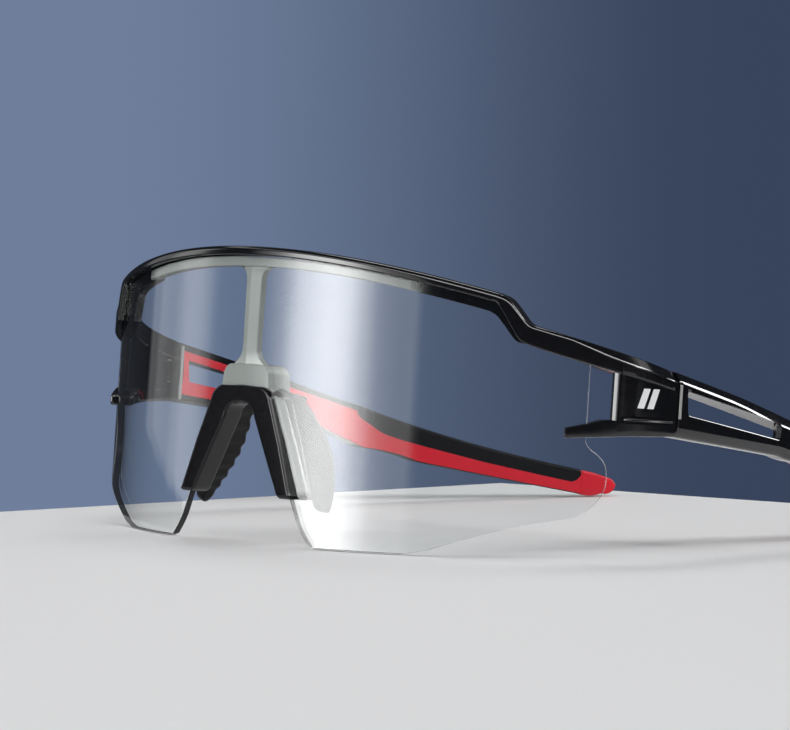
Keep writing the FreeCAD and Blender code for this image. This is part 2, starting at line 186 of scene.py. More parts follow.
def make_back_light():
    """A softbox above and behind. Its radiance is how bright it looks in a mirror."""
    data = bpy.data.lights.new("back_light", "AREA")
    data.shape = "RECTANGLE"
    data.size, data.size_y = BACK_LIGHT_WIDTH, BACK_LIGHT_HEIGHT
    data.energy = BACK_LIGHT_RADIANCE * math.pi * BACK_LIGHT_WIDTH * BACK_LIGHT_HEIGHT
    lamp = bpy.data.objects.new("back_light", data)
    scene.collection.objects.link(lamp)
    away = direction(BACK_LIGHT_AZIMUTH, BACK_LIGHT_ELEVATION)
    lamp.location = BACK_LIGHT_AIM + away * BACK_LIGHT_DISTANCE
    lamp.rotation_mode = "QUATERNION"
    lamp.rotation_quaternion = away.to_track_quat("Z", "Y")
    lamp.visible_camera = False
    lamp.visible_transmission = False


BACKDROP_LEFT, BACKDROP_RIGHT = (0.16, 0.212, 0.33), (0.04, 0.058, 0.105)
BACKDROP_REACH = 0.085
AMBIENT = (0.03, 0.034, 0.042)


def make_world():
    """A blue-grey backdrop, lighter on one side. It is seen, and a dimmer even light falls on the object."""
    world = bpy.data.worlds.new("studio")
    scene.world = world
    node, link = new_nodes(world)
    way, side, spread, blend = node("TexCoord"), node("VectorMath"), node("MapRange"), node("Mix")
    side.operation = "DOT_PRODUCT"
    side.inputs[1].default_value = (math.cos(CAMERA_AZIMUTH), math.sin(CAMERA_AZIMUTH), 0)
    spread.inputs["From Min"].default_value = -BACKDROP_REACH
    spread.inputs["From Max"].default_value = BACKDROP_REACH
    spread.interpolation_type = "SMOOTHERSTEP"
    blend.data_type = "RGBA"
    blend.inputs["A"].default_value = (*BACKDROP_LEFT, 1)
    blend.inputs["B"].default_value = (*BACKDROP_RIGHT, 1)
    link(way.outputs["Generated"], side.inputs[0])
    link(side.outputs["Value"], spread.inputs["Value"])
    link(spread.outputs["Result"], blend.inputs["Factor"])
    seen, dim, path, either = node("Background"), node("Background"), node("LightPath"), node("Math")
    dim.inputs["Color"].default_value = (*AMBIENT, 1)
    either.operation = "MAXIMUM"
    link(path.outputs["Is Camera Ray"], either.inputs[0])
    link(path.outputs["Is Transmission Ray"], either.inputs[1])
    link(blend.outputs["Result"], seen.inputs["Color"])
    mix, out = node("MixShader"), node("OutputWorld")
    link(either.outputs[0], mix.inputs[0])
    link(dim.outputs[0], mix.inputs[1])
    link(seen.outputs[0], mix.inputs[2])
    link(mix.outputs[0], out.inputs["Surface"])


FLOOR_CORNER, FLOOR_LENGTH, FLOOR_SINK = Vector((-0.095, 0.092, 0)), 3.0, 0.0002
FLOOR_ALONG, FLOOR_ACROSS = Vector((0.06, -0.998, 0)), Vector((0.99, 0.14, 0))
FLOOR_COLOUR = (0.7, 0.7, 0.705)


def make_floor():
    """A pale sheet with one corner behind the object, a hair below the lens foot and the temple tips."""
    along, across = FLOOR_ALONG * FLOOR_LENGTH, FLOOR_ACROSS * FLOOR_LENGTH
    corners = [FLOOR_CORNER, FLOOR_CORNER + along, FLOOR_CORNER + along + across, FLOOR_CORNER + across]
    mesh = bpy.data.meshes.new("floor")
    mesh.from_pydata(corners, [], [(0, 1, 2, 3)])
    floor = bpy.data.objects.new("floor", mesh)
    scene.collection.objects.link(floor)
    floor.location.z = -FLOOR_SINK
    mesh.materials.append(plain("floor_paint", FLOOR_COLOUR, 0.6))


def make_studio():
    scene.view_settings.view_transform = "Standard"
    make_world()
    make_ring("low_ring", 0.0, 0.75, LOW_RING)
    make_ring("high_ring", 1.28, 1.55, HIGH_RING)
    make_ring("edge_ring", 0.78, 1.27, EDGE_RING, gloss_only=True)
    make_ring("crease_ring", 0.36, 0.76, CREASE_RING, radius=1.55, gloss_only=True)
    make_back_light()
    make_floor()


# ---- the materials ----


def plain(name, colour, roughness, **sockets):
    """An even material. A socket's name has underscores for its spaces."""
    material = bpy.data.materials.new(name)
    material.use_nodes = True
    shader = material.node_tree.nodes["Principled BSDF"]
    shader.inputs["Base Color"].default_value = (*colour, 1)
    shader.inputs["Roughness"].default_value = roughness
    for socket, value in sockets.items():
        shader.inputs[socket.replace("_", " ")].default_value = value
    return material


def finish(name, colour, roughness, spread=0.03, grain=900, bump=0.0, **sockets):
    """A material whose roughness, and surface if bump is given in millimetres, varies finely."""
    material = plain(name, colour, roughness, **sockets)
    nodes, links = material.node_tree.nodes, material.node_tree.links
    shader = nodes["Principled BSDF"]
    place, noise, varied = (nodes.new("ShaderNode" + kind) for kind in ("TexCoord", "TexNoise", "MapRange"))
    noise.inputs["Scale"].default_value = grain
    noise.inputs["Detail"].default_value = 3
    varied.inputs["From Min"].default_value = 0.3
    varied.inputs["From Max"].default_value = 0.7
    varied.inputs["To Min"].default_value = roughness - spread
    varied.inputs["To Max"].default_value = roughness + spread
    links.new(place.outputs["Object"], noise.inputs["Vector"])
    links.new(noise.outputs[0], varied.inputs["Value"])
    links.new(varied.outputs["Result"], shader.inputs["Roughness"])
    if bump:
        relief = nodes.new("ShaderNodeBump")
        relief.inputs["Strength"].default_value = 1
        relief.inputs["Distance"].default_value = bump * MM
        links.new(noise.outputs[0], relief.inputs["Height"])
        links.new(relief.outputs[0], shader.inputs["Normal"])
    return material


BLACK = finish("black_gloss", (0.004, 0.004, 0.005), 0.1, IOR=1.6)
RED = finish(
    "red_satin", (0.66, 0.012, 0.028), 0.36, spread=0.04, grain=1500, bump=0.004, Specular_IOR_Level=0.3
)
RUBBER = finish(
    "black_rubber", (0.008, 0.008, 0.009), 0.45, spread=0.08, grain=3500, bump=0.02, Specular_IOR_Level=0.08
)
SADDLE = finish(
    "saddle_rubber", (0.005, 0.005, 0.006), 0.16, spread=0.04, grain=1200, bump=0.001, Specular_IOR_Level=0.28
)
METAL = finish("core_metal", (0.6, 0.6, 0.6), 0.3, spread=0.06, grain=2000, Metallic=1.0)
BRASS = finish("insert_brass", (0.75, 0.5, 0.2), 0.3, spread=0.06, grain=2000, Metallic=1.0)
GREY = finish(
    "clear_grey", (0.38, 0.41, 0.385), 0.22, spread=0.05, grain=700, Transmission_Weight=0.3, IOR=1.49
)
WHITE = finish("mark_white", (0.82, 0.82, 0.82), 0.35)
# Painted shade: the lens's rim faces are near-black for the dark look of a clear edge.
RIM = finish(
    "lens_rim", (0.003, 0.003, 0.003), 0.2, spread=0.05, grain=700, Alpha=0.96, Specular_IOR_Level=0.2
)
# Painted highlight: light grey on the lens's softened front edge, for the light a polished edge catches.
RIM_PAINTED_HIGHLIGHT = finish("lens_rim_painted_highlight", (0.7, 0.72, 0.72), 0.2, spread=0.05, grain=700, Alpha=0.8, IOR=1.49)
# Painted highlight: grey for the light caught at the temple's hinge gap.
PAINTED_HINGE_HIGHLIGHT = finish("painted_hinge_highlight", (0.35, 0.35, 0.34), 0.28, spread=0.05, grain=1500)
LENS_TINT = (0.975, 0.985, 0.985)
LENS_SHINE_AHEAD, LENS_SHINE_STEEPNESS, LENS_ROUGHNESS = 0.045, 5, 0.04


def clear_lens():
    """A clear sheet whose reflection grows towards a glancing view, alike on both faces."""
    material = bpy.data.materials.new("smoked_lens")
    node, link = new_nodes(material)
    out, mix = node("OutputMaterial"), node("MixShader")
    clear, gloss = node("BsdfTransparent"), node("BsdfGlossy")
    clear.inputs["Color"].default_value = (*LENS_TINT, 1)
    gloss.inputs["Roughness"].default_value = LENS_ROUGHNESS
    weight, steep, share = node("LayerWeight"), node("Math"), node("MapRange")
    weight.inputs["Blend"].default_value = 0.5
    steep.operation = "POWER"
    steep.inputs[1].default_value = LENS_SHINE_STEEPNESS
    share.inputs["To Min"].default_value = LENS_SHINE_AHEAD
    link(weight.outputs["Facing"], steep.inputs[0])
    link(steep.outputs[0], share.inputs["Value"])
    link(share.outputs["Result"], mix.inputs[0])
    link(clear.outputs[0], mix.inputs[1])
    link(gloss.outputs[0], mix.inputs[2])
    link(mix.outputs[0], out.inputs["Surface"])
    return material


LENS = clear_lens()

# ---- shaping: all drawn upright in millimetres, as the CAD source draws it, and leaned at the end ----

fold = next(joint for joint in frame["joints"] if joint["name"] == "left_temple_fold")
PIN = Vector((69.4, 43.2, 32.45))
UPRIGHT = Vector((0, 0, 1))
LEAN = UPRIGHT.rotation_difference(Vector(fold["axis"])).to_matrix().to_4x4()
TO_ROW = Matrix.Translation(fold["pos_m"]) @ LEAN @ Matrix.Scale(MM, 4) @ Matrix.Translation(-PIN)


def trend(points, at):
    """The height of a polyline of (place, height) at a place."""
    if at <= points[0][0]:
        return points[0][1]
    for (start, low), (stop, high) in zip(points, points[1:]):
        if at <= stop:
            return low + (high - low) * (at - start) / (stop - start)
    return points[-1][1]


def soft_trend(points, at, reach=0.5):
    """The same, with the corners rounded over a reach to each side."""
    shares = (-1, -0.5, 0, 0.5, 1)
    return sum(trend(points, at + reach * share) for share in shares) / len(shares)


def soft_ring(corners, steps=3):
    """A closed loop with each corner (point, reach) rounded from reach before it to reach after it."""
    ring = []
    for index, (here, reach) in enumerate(corners):
        before = corners[index - 1][0] - here
        after = corners[(index + 1) % len(corners)][0] - here
        start = here + before.normalized() * min(reach, before.length * 0.45)
        stop = here + after.normalized() * min(reach, after.length * 0.45)
        for step in range(steps + 1):
            share = step / steps
            ring.append(start * (1 - share) ** 2 + here * 2 * share * (1 - share) + stop * share**2)
    return ring


def soft_loop(corners, steps=3):
    """The same for flat corners (across, up, reach)."""
    return soft_ring([(Vector((across, up)), reach) for across, up, reach in corners], steps)


def shrunk(loop, inset):
    """A loop drawn in towards its middle."""
    middle = sum(loop, Vector((0, 0, 0))) / len(loop)
    moved = []
    for point in loop:
        inward = middle - point
        moved.append(point + inward.normalized() * min(inset, inward.length * 0.9))
    return moved


def refined(loops, pitch):
    """Loops with their long edges divided alike."""
    edges = list(zip(loops[0], loops[0][1:] + loops[0][:1]))
    counts = [max(1, round((stop - start).length / pitch)) for start, stop in edges]
    out = []
    for loop in loops:
        pairs = zip(loop, loop[1:] + loop[:1], counts)
        out.append([start.lerp(stop, step / count) for start, stop, count in pairs for step in range(count)])
    return out


def arc_line(corners, steps=8):
    """A polyline through (across, up, radius after it); the arc turns left for a positive radius."""
    line = []
    for start, stop in zip(corners, corners[1:]):
        first, last = Vector(start[:2]), Vector(stop[:2])
        line.append(first)
        if len(start) > 2:
            half = (last - first) / 2
            side = Vector((-half.y, half.x)).normalized()
            aside = math.copysign(math.sqrt(start[2] ** 2 - half.length_squared), start[2])
            centre = first + half + side * aside
            sweep = (first - centre).angle_signed(last - centre)
            turns = [Matrix.Rotation(-sweep * step / steps, 2) for step in range(1, steps)]
            line += [centre + turn @ (first - centre) for turn in turns]
    return line + [Vector(corners[-1][:2])]


def evenly(start, stop, pitch):
    """Places from start to stop, about a pitch apart."""
    count = max(1, round(abs(stop - start) / pitch))
    return [start + (stop - start) * step / count for step in range(count + 1)]


pieces = []


def new_piece(name, shape, body, material, nodes=()):
    """Turns a bmesh in millimetres into a piece that rides on a body and stands for CAD nodes."""
    bmesh.ops.recalc_face_normals(shape, faces=shape.faces)
    for face in shape.faces:
        face.smooth = True
    shape.transform(TO_ROW)
    mesh = bpy.data.meshes.new(name)
    shape.to_mesh(mesh)
    shape.free()
    mesh.materials.append(material)
    piece = bpy.data.objects.new(name, mesh)
    scene.collection.objects.link(piece)
    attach(piece, body)
    if nodes:
        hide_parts(*nodes)
    pieces.append(piece)
    return piece


def loft(shape, loops):
    """Skins a row of loops of points, with flat ends."""
    rings = [[shape.verts.new(point) for point in loop] for loop in loops]
    for first, second in zip(rings, rings[1:]):
        for index in range(len(first)):
            shape.faces.new((first[index - 1], first[index], second[index], second[index - 1]))
    shape.faces.new(rings[0])
    shape.faces.new(reversed(rings[-1]))


def cuboid(middle, size):
    """A plain block, which only cuts into a piece or joins it."""
    shape = bmesh.new()
    bmesh.ops.create_cube(shape, size=1)
    shape.transform(Matrix.Translation(middle) @ Matrix.Diagonal((*size, 1)))
    return shape


def cylinder(side, radius, low, high, sides=32):
    """An upright post about the hinge pin on one side, which only cuts into a piece or joins it."""
    turns = [2 * math.pi * step / sides for step in range(sides)]
    rim = [(side * PIN.x + radius * math.cos(turn), PIN.y + radius * math.sin(turn)) for turn in turns]
    shape = bmesh.new()
    loft(shape, [[(across, back, up) for across, back in rim] for up in (low, high)])
    return shape


def boolean(piece, tool_shape, operation):
    """Joins a shape in millimetres to a piece, or takes it out."""
    bmesh.ops.recalc_face_normals(tool_shape, faces=tool_shape.faces)
    tool_shape.transform(TO_ROW)
    mesh = bpy.data.meshes.new("tool")
    tool_shape.to_mesh(mesh)
    tool_shape.free()
    tool = bpy.data.objects.new("tool", mesh)
    scene.collection.objects.link(tool)
    change = piece.modifiers.new("change", "BOOLEAN")
    change.operation = operation
    change.solver = "EXACT"
    change.object = tool
    apply_modifiers(piece)
    bpy.data.objects.remove(tool)
    bpy.data.meshes.remove(mesh)


def apply_modifiers(piece):
    """Makes a piece's modified mesh its own."""
    bpy.context.view_layer.update()
    changed = bpy.data.meshes.new_from_object(piece.evaluated_get(bpy.context.evaluated_depsgraph_get()))
    piece.modifiers.clear()
    old, piece.data = piece.data, changed
    changed.name = piece.name
    bpy.data.meshes.remove(old)


def sharpen(piece, angle=40):
    """Keeps edges over an angle crisp and smooths the rest."""
    piece.data.set_sharp_from_angle(angle=math.radians(angle))


# ---- the frame's own coordinates: along its outer face from the middle, inward from that face, and up ----

LENS_RADIUS, LENS_THICK, FRONT_LIP = 95.0, 1.6, 1.4
FACE_RADIUS = LENS_RADIUS + FRONT_LIP
TURN_START = math.radians(41.5)
TURN_RADIUS = 27.69
TURN_ALONG = FACE_RADIUS * TURN_START
TURN_CENTRE = Vector((
    (FACE_RADIUS - TURN_RADIUS) * math.sin(TURN_START),
    LENS_RADIUS - (FACE_RADIUS - TURN_RADIUS) * math.cos(TURN_START),
))
HINGE_ALONG = 94.9


def on_frame(along, inward, up):
    """A point of the frame. A negative distance along is on the wearer's right."""
    side = -1 if along < 0 else 1
    run = abs(along)
    if run <= TURN_ALONG:
        angle = run / FACE_RADIUS
        radius, centre = FACE_RADIUS - inward, Vector((0, LENS_RADIUS))
    else:
        angle = TURN_START + (run - TURN_ALONG) / TURN_RADIUS
        radius, centre = TURN_RADIUS - inward, TURN_CENTRE
    return Vector((side * (centre.x + radius * math.sin(angle)), centre.y - radius * math.cos(angle), up))


# ---- the bar: arched over the lens, then stepped down to the hinge. Each table is (along, value) ----

BROW_PEAK, BROW_RADIUS, BROW_HALF = 57.7, 217, 56
BROW_FACE, BROW_REAR = 1.75, 3.9
STEP_BLEND = 0.6
STEP_TOP = [
    (56.9, 50.95), (58.4, 50.2), (59.4, 49.1), (60.8, 47.5), (62.15, 45.95), (63.1, 45.5), (68.5, 44.3),
    (76.8, 42.5), (94.9, 38.65),
]
STEP_FRONT = [(56.1, 49.55), (60.9, 42.4), (63.0, 41.6), (68.8, 40.1), (78.0, 38.0), (94.9, 34.8)]
STEP_REAR = [(54.0, 47.6), (55.3, 47.0), (59.4, 42.2), (63.0, 41.6), (68.8, 40.1), (78.0, 38.0), (94.9, 34.8)]
BAR_DEPTH = [(TURN_ALONG, 4.8), (HINGE_ALONG, 5.7)]
BAR_SLANT = [(0, 0), (57, 0.15), (64, 0.15), (78, 0)]
TOP_FALL = [(56, 0.55), (62, 0.4), (71, 0.45), (78, 1.4), (84, 2.0), (94.9, 2.1)]
TOP_LEAN = [(56, 0.55), (62, 0.45), (71, 0.5), (80, 1.8), (94.9, 2.2)]
TOP_CREASE = [(0, 0.35), (60, 0.4), (72, 0.42), (80, 0.6)]
LENS_GAP = 0.12
CARRIER_END = 38.8


def brow_height(along):
    across = min(FACE_RADIUS * math.sin(min(abs(along), TURN_ALONG) / FACE_RADIUS), BROW_HALF)
    return BROW_PEAK - BROW_RADIUS + math.sqrt(BROW_RADIUS**2 - across**2)


def bar_top(along):
    return brow_height(along) if along < STEP_TOP[0][0] - STEP_BLEND else soft_trend(STEP_TOP, along)


def bar_front(along):
    """The lower edge of the lip in front of the lens."""
    if along < STEP_FRONT[0][0] - STEP_BLEND:
        return brow_height(along) - BROW_FACE
    return soft_trend(STEP_FRONT, along)


def bar_rear(along):
    """The lower edge behind the lens, which is higher over the carrier."""
    if along > STEP_REAR[0][0]:
        return soft_trend(STEP_REAR, along)
    return brow_height(along) - (BROW_FACE if along < CARRIER_END else BROW_REAR)


def bar_depth(along):
    return trend(BAR_DEPTH, along)


def bar_loop(place):
    """A section of the bar. Where the bar steps down it runs straight back, not square to the face."""
    along = abs(place)
    side = -1 if place < 0 else 1
    slant, fall, lean, crease = (trend(table, along) for table in (BAR_SLANT, TOP_FALL, TOP_LEAN, TOP_CREASE))
    top, front, rear, depth = bar_top(along), bar_front(along), bar_rear(along), bar_depth(along)
    groove = [(0, top - 0.9), (57, top - 0.9), (60, front + 1.2), (72, front + 1.2), (74, front + 0.05)]
    seat = trend(groove, along)
    corners = [
        (0, top - fall, crease),
        (0, front, 0.3),
        (FRONT_LIP - LENS_GAP, front, 0.1),
        (FRONT_LIP - LENS_GAP, seat, 0.1),
        (FRONT_LIP + LENS_THICK + LENS_GAP, seat, 0.1),
        (FRONT_LIP + LENS_THICK + LENS_GAP, rear, 0.1),
        (depth, rear, 0.5),
        (depth, top, 0.5),
        (lean, top, 0.25),
    ]
    loop = []
    for inward, up in soft_loop(corners):
        loop.append(on_frame(side * max(along + inward * slant, 1e-6), inward, up))
    return shrunk(loop, 0.2) if along == HINGE_ALONG else loop


def bar_loops():
    """Sections from one hinge to the other, closer together where the bar steps down."""
    half = evenly(0, CARRIER_END - 0.1, 1.5) + [CARRIER_END + 0.1] + evenly(40, 55, 1.4)
    half += evenly(55.4, 64, 0.4) + evenly(64.8, HINGE_ALONG, 0.9)
    return [bar_loop(place) for place in [-place for place in reversed(half[1:])] + half]


FINGER_TOP = [(70.5, 26.6), (74.8, 27.6), (78.6, 28.7), (80.5, 28.6), (94.9, 28.6)]
FINGER_FOOT = [(70.5, 24.6), (76.0, 25.1), (83.0, 25.7), (94.9, 26.2)]
FINGER_END = [(70.5, 0.72), (70.56, 0.86), (70.72, 0.96), (71.1, 1.0)]


def finger_loop(along, side, scale=1.0):
    top, foot = soft_trend(FINGER_TOP, along, 1.0), soft_trend(FINGER_FOOT, along, 1.0)
    depth = bar_depth(along)
    level, middle = (top + foot) / 2, depth / 2
    corners = []
    for inward, up, reach in ((0, top, 0.45), (0, foot, 0.5), (depth, foot, 0.7), (depth, top, 0.7)):
        corners.append((middle + (inward - middle) * scale, level + (up - level) * scale, reach))
    return [on_frame(side * along, inward, up) for inward, up in soft_loop(corners)]


def finger_shape(side):
    """The end block's lower finger, which runs forward under the lens's side lobe to a rounded end."""
    loops = [finger_loop(along, side, scale) for along, scale in FINGER_END]
    loops += [finger_loop(along, side) for along in evenly(72.0, HINGE_ALONG - 0.2, 0.9)]
    loops.append(finger_loop(HINGE_ALONG, side, 0.93))
    shape = bmesh.new()
    loft(shape, loops)
    return shape


# the end block's plate, whose front and rear edges fall away, and its sunk panel with a slope on each side
WALL_ALONG, WALL_STEPS = 79.9, (0, 0.4, 0.72, 0.84, 0.95)
WALL_CHAMFER, HINGE_CHAMFER = (0.95, 0.45, 0.1, 0.03), 0.2
PANEL_START, PANEL_STOP, PANEL_FOOT, PANEL_ROOF_DROP, PANEL_DEPTH = 80.9, 93.6, 28.7, 3.6, 0.6
START_SLOPE, STOP_SLOPE, FOOT_SLOPE, ROOF_SLOPE = 4.0, 0.4, 0.4, 0.3


def step_up(value, edge, reach):
    """0 before an edge and 1 after it, with a smooth rise between."""
    share = min(1, max(0, (value - edge) / reach))
    return share * share * (3 - 2 * share)


def panel_depth(along, up):
    """How far the end block's outer panel is sunk at a place."""
    roof = bar_top(along) - PANEL_ROOF_DROP
    share = step_up(along, PANEL_START, START_SLOPE) * step_up(-along, -PANEL_STOP, STOP_SLOPE)
    share *= step_up(up, PANEL_FOOT, FOOT_SLOPE) * step_up(-up, -roof, ROOF_SLOPE)
    return PANEL_DEPTH * share


def panel_levels(along):
    """The heights of the plate's rows: close together on the slopes round the sunk panel."""
    roof = bar_top(along) - PANEL_ROOF_DROP
    bands = [(trend(FINGER_FOOT, along) + 1.2, 3), (PANEL_FOOT, 7), (PANEL_FOOT + FOOT_SLOPE, 14)]
    bands += [(roof - ROOF_SLOPE, 6), (roof, 4), (bar_top(along) - 2.2, 0)]
    levels = []
    for (low, count), (high, _) in zip(bands, bands[1:]):
        levels += [low + (high - low) * step / count for step in range(count)]
    return levels + [bands[-1][0]]


def plate_shape(side):
    """The end block's plate: a grid on the outer face, sunk in the middle, and a plain back."""
    places = [WALL_ALONG + shift for shift in WALL_STEPS]
    places += evenly(81.0, HINGE_ALONG - 0.2, 0.35) + [HINGE_ALONG]
    chamfer = [*WALL_CHAMFER] + [0.0] * (len(places) - len(WALL_CHAMFER) - 1) + [HINGE_CHAMFER]
    shape = bmesh.new()
    face, back = [], []
    for along, sunk in zip(places, chamfer):
        levels = panel_levels(along)
        outer = [on_frame(side * along, sunk + panel_depth(along, up), up) for up in levels]
        rear = min(along + max(0, 84 - along) * 0.3, HINGE_ALONG)
        inner = [on_frame(side * rear, bar_depth(along) - 0.3, up) for up in levels]
        face.append([shape.verts.new(point) for point in outer])
        back.append([shape.verts.new(point) for point in inner])
    columns, rows = len(face) - 1, len(face[0]) - 1
    for column in range(columns):
        for row in range(rows):
            for sheet in (face, back):
                near, far = sheet[column], sheet[column + 1]
                shape.faces.new((near[row], far[row], far[row + 1], near[row + 1]))
        for row in (0, rows):
            near, far = face[column][row], face[column + 1][row]
            shape.faces.new((near, far, back[column + 1][row], back[column][row]))
    for column in (0, columns):
        for row in range(rows):
            low, high = face[column][row], face[column][row + 1]
            shape.faces.new((low, high, back[column][row + 1], back[column][row]))
    return shape


HINGE_SLOT_MIDDLE, HINGE_SLOT_SIZE = (65.8, 46.0, 32.45), (11.6, 10, 5.0)
SCREW_HOLE_RADIUS, SCREW_HOLE_LOW, SCREW_HOLE_HIGH = 1.55, 38.0, 45.0


def make_frame():
    """The bar, with an end block, a hinge slot and a screw hole on each side."""
    shape = bmesh.new()
    loft(shape, bar_loops())
    piece = new_piece("frame_moulding", shape, "front", BLACK, ["frame_front"])
    for side in (1, -1):
        boolean(piece, finger_shape(side), "UNION")
        boolean(piece, plate_shape(side), "UNION")
        across, back, up = HINGE_SLOT_MIDDLE
        boolean(piece, cuboid((side * across, back, up), HINGE_SLOT_SIZE), "DIFFERENCE")
        boolean(piece, cylinder(side, SCREW_HOLE_RADIUS, SCREW_HOLE_LOW, SCREW_HOLE_HIGH), "DIFFERENCE")
    sharpen(piece, 32)


MARK_BAR = [(85.0, 31.2), (86.5, 31.2), (87.8, 35.0), (86.3, 35.0)]
MARK_SHIFTS, MARK_DEPTHS = (0, 2.3), (0.52, 0.8)


def make_marks(name):
    """Two plain slanted bars on the end block's panel."""
    side = SIDES[name]
    shape = bmesh.new()
    for shift in MARK_SHIFTS:
        loops = []
        for inward in MARK_DEPTHS:
            loops.append([on_frame(side * (along + shift), inward, up) for along, up in MARK_BAR])
        loft(shape, refined(loops, 0.6))
    sharpen(new_piece(f"block_mark_{name}", shape, "front", WHITE), 30)


# each rib: where it starts and stops along the frame, and its lowest and highest level
BLOCK_RIBS = [
    (82.4, 83.2, 30.0, 37.4), (82.4, 86.6, 36.6, 37.4), (82.4, 86.6, 30.0, 30.8), (85.8, 86.6, 30.0, 32.2),
    (85.8, 86.6, 35.2, 37.4), (88.0, 88.5, 29.6, 37.2),
]


def make_ribs(name):
    """Moulded ribs on the end block's inner face."""
    side = SIDES[name]
    shape = bmesh.new()
    for start, stop, low, high in BLOCK_RIBS:
        loops = []
        for along in (start, stop):
            buried, proud = bar_depth(along) - 0.5, bar_depth(along) + 0.05
            corners = [(buried, low), (buried, high), (proud, high), (proud, low)]
            loops.append([on_frame(side * along, inward, up) for inward, up in corners])
        loft(shape, loops)
    sharpen(new_piece(f"block_ribs_{name}", shape, "front", BLACK))


# ---- the translucent carrier: a strip under the brow, a ridged post, and a roof and two flanges ----

CARRIER_FRONT, CARRIER_BACK, ROOF_BACK = LENS_RADIUS - 0.5, LENS_RADIUS - LENS_THICK - 1.2, LENS_RADIUS - 6.4
STRIP_HALF, STRIP_TOP_DROP, STRIP_FOOT_DROP = 37.8, 1.9, 3.85
POST = [
    (34.2, 5.0), (35.0, 3.9), (36.0, 2.7), (37.2, 2.1), (40.0, 2.0), (51.4, 2.1), (52.6, 2.4), (53.4, 3.2),
    (53.9, 4.6),
]
POST_RIDGE = 0.8
ROOF_OUTER = [(0, 35.0), (4.4, 34.7, -2.2), (6.3, 33.0), (6.8, 29.8)]
ROOF_INNER = [(0, 29.6), (3.6, 29.6, -2), (4.8, 29.0), (5.4, 28.4)]
FLANGE_OUTER = [(6.8, 30.6), (9.4, 27.6), (12.9, 19.4), (16.4, 10.4)]
FLANGE_INNER = [(5.0, 29.4), (7.6, 26.4), (11.0, 19.2), (14.8, 9.6)]


def on_ring(across, up, radius):
    """A point at a distance across and a height, on a cylinder about the lens axis."""
    return Vector((across, LENS_RADIUS - math.sqrt(radius**2 - across**2), up))


def one_leg(outer, inner, side):
    """Stations (side, outer point, inner point) from the top of an arch down one leg."""
    rows = list(zip(arc_line(outer, 12), arc_line(inner, 12)))
    leg = []
    for (first_out, first_in), (last_out, last_in) in zip(rows, rows[1:]):
        count = max(1, round((last_out - first_out).length / 0.9))
        for step in range(count):
            share = step / count
            leg.append((side, first_out.lerp(last_out, share), first_in.lerp(last_in, share)))
    return leg + [(side, *rows[-1])]


def both_legs(outer, inner):
    """The same from the foot of the right leg over the top to the foot of the left leg."""
    return one_leg(outer, inner, -1)[:0:-1] + one_leg(outer, inner, 1)


def strip_loops():
    loops = []
    for across in evenly(-STRIP_HALF, STRIP_HALF, 1.6):
        brow = brow_height(math.asin(across / FACE_RADIUS) * FACE_RADIUS)
        top, foot = brow - STRIP_TOP_DROP, brow - STRIP_FOOT_DROP
        corners = [(foot, CARRIER_FRONT), (top, CARRIER_FRONT), (top, CARRIER_BACK), (foot, CARRIER_BACK)]
        loops.append(soft_ring([(on_ring(across, up, radius), 0.35) for up, radius in corners]))
    return loops


def post_loops():
    loops = []
    for level in evenly(POST[0][0], POST[-1][0], 0.4):
        wide, low_face = trend(POST, level), CARRIER_FRONT - POST_RIDGE
        corners = [(-wide, low_face, 0.15), (0, CARRIER_FRONT, 0.12), (wide, low_face, 0.15)]
        corners += [(wide, CARRIER_BACK, 0.3), (-wide, CARRIER_BACK, 0.3)]
        ring = [(on_ring(across, level, radius), reach) for across, radius, reach in corners]
        loops.append(soft_ring(ring))
    return loops


def arch_loops(stations, back):
    """Sections of the roof or of a flange, as deep as a radius at the back says."""
    loops = []
    for side, outside, inside in stations:
        corners = [(outside, CARRIER_FRONT), (inside, CARRIER_FRONT), (inside, back), (outside, back)]
        loops.append(soft_ring([(on_ring(side * spot.x, spot.y, radius), 0.4) for spot, radius in corners]))
    return loops


def make_carrier():
    shape = bmesh.new()
    loft(shape, strip_loops())
    loft(shape, post_loops())
    loft(shape, arch_loops(both_legs(ROOF_OUTER, ROOF_INNER), ROOF_BACK))
    for side in (1, -1):
        loft(shape, arch_loops(one_leg(FLANGE_OUTER, FLANGE_INNER, side), CARRIER_BACK))
    new_piece("carrier_moulding", shape, "front", GREY, ["nose_bridge_carrier"])


# ---- the nose saddle and its pads ----

SADDLE_OUTER = [(0, 30.7), (4.6, 30.5, -3.6), (8.4, 28.0), (11.9, 19.5), (15.6, 9.2)]
SADDLE_INNER = [(0, 27.3), (1.6, 27.1, -3), (4.1, 24.4), (7.8, 17.2), (11.9, 9.2)]
SADDLE_FRONT, SADDLE_BACK, SADDLE_WIDER = -0.4, 5.2, 0.987
SADDLE_END = Vector((0, 0, 0.4))


def make_saddle():
    """The black arch, wider towards the face, with its two feet rounded."""
    loops = []
    for side, outside, inside in both_legs(SADDLE_OUTER, SADDLE_INNER):
        corners = [(outside, SADDLE_FRONT, 0), (inside, SADDLE_FRONT, 0)]
        corners += [(inside, SADDLE_BACK, SADDLE_WIDER), (outside, SADDLE_BACK, SADDLE_WIDER)]
        ring = [(Vector((side * (spot.x + wider), back, spot.y)), 0.6) for spot, back, wider in corners]
        loops.append(soft_ring(ring, 4))
    right, left = loops[0], loops[-1]
    loops[0] = [point + SADDLE_END for point in right]
    loops[-1] = [point + SADDLE_END for point in left]
    shape = bmesh.new()
    loft(shape, [shrunk(right, 0.45), *loops, shrunk(left, 0.45)])
    new_piece("saddle_moulding", shape, "front", SADDLE, ["nose_saddle"])


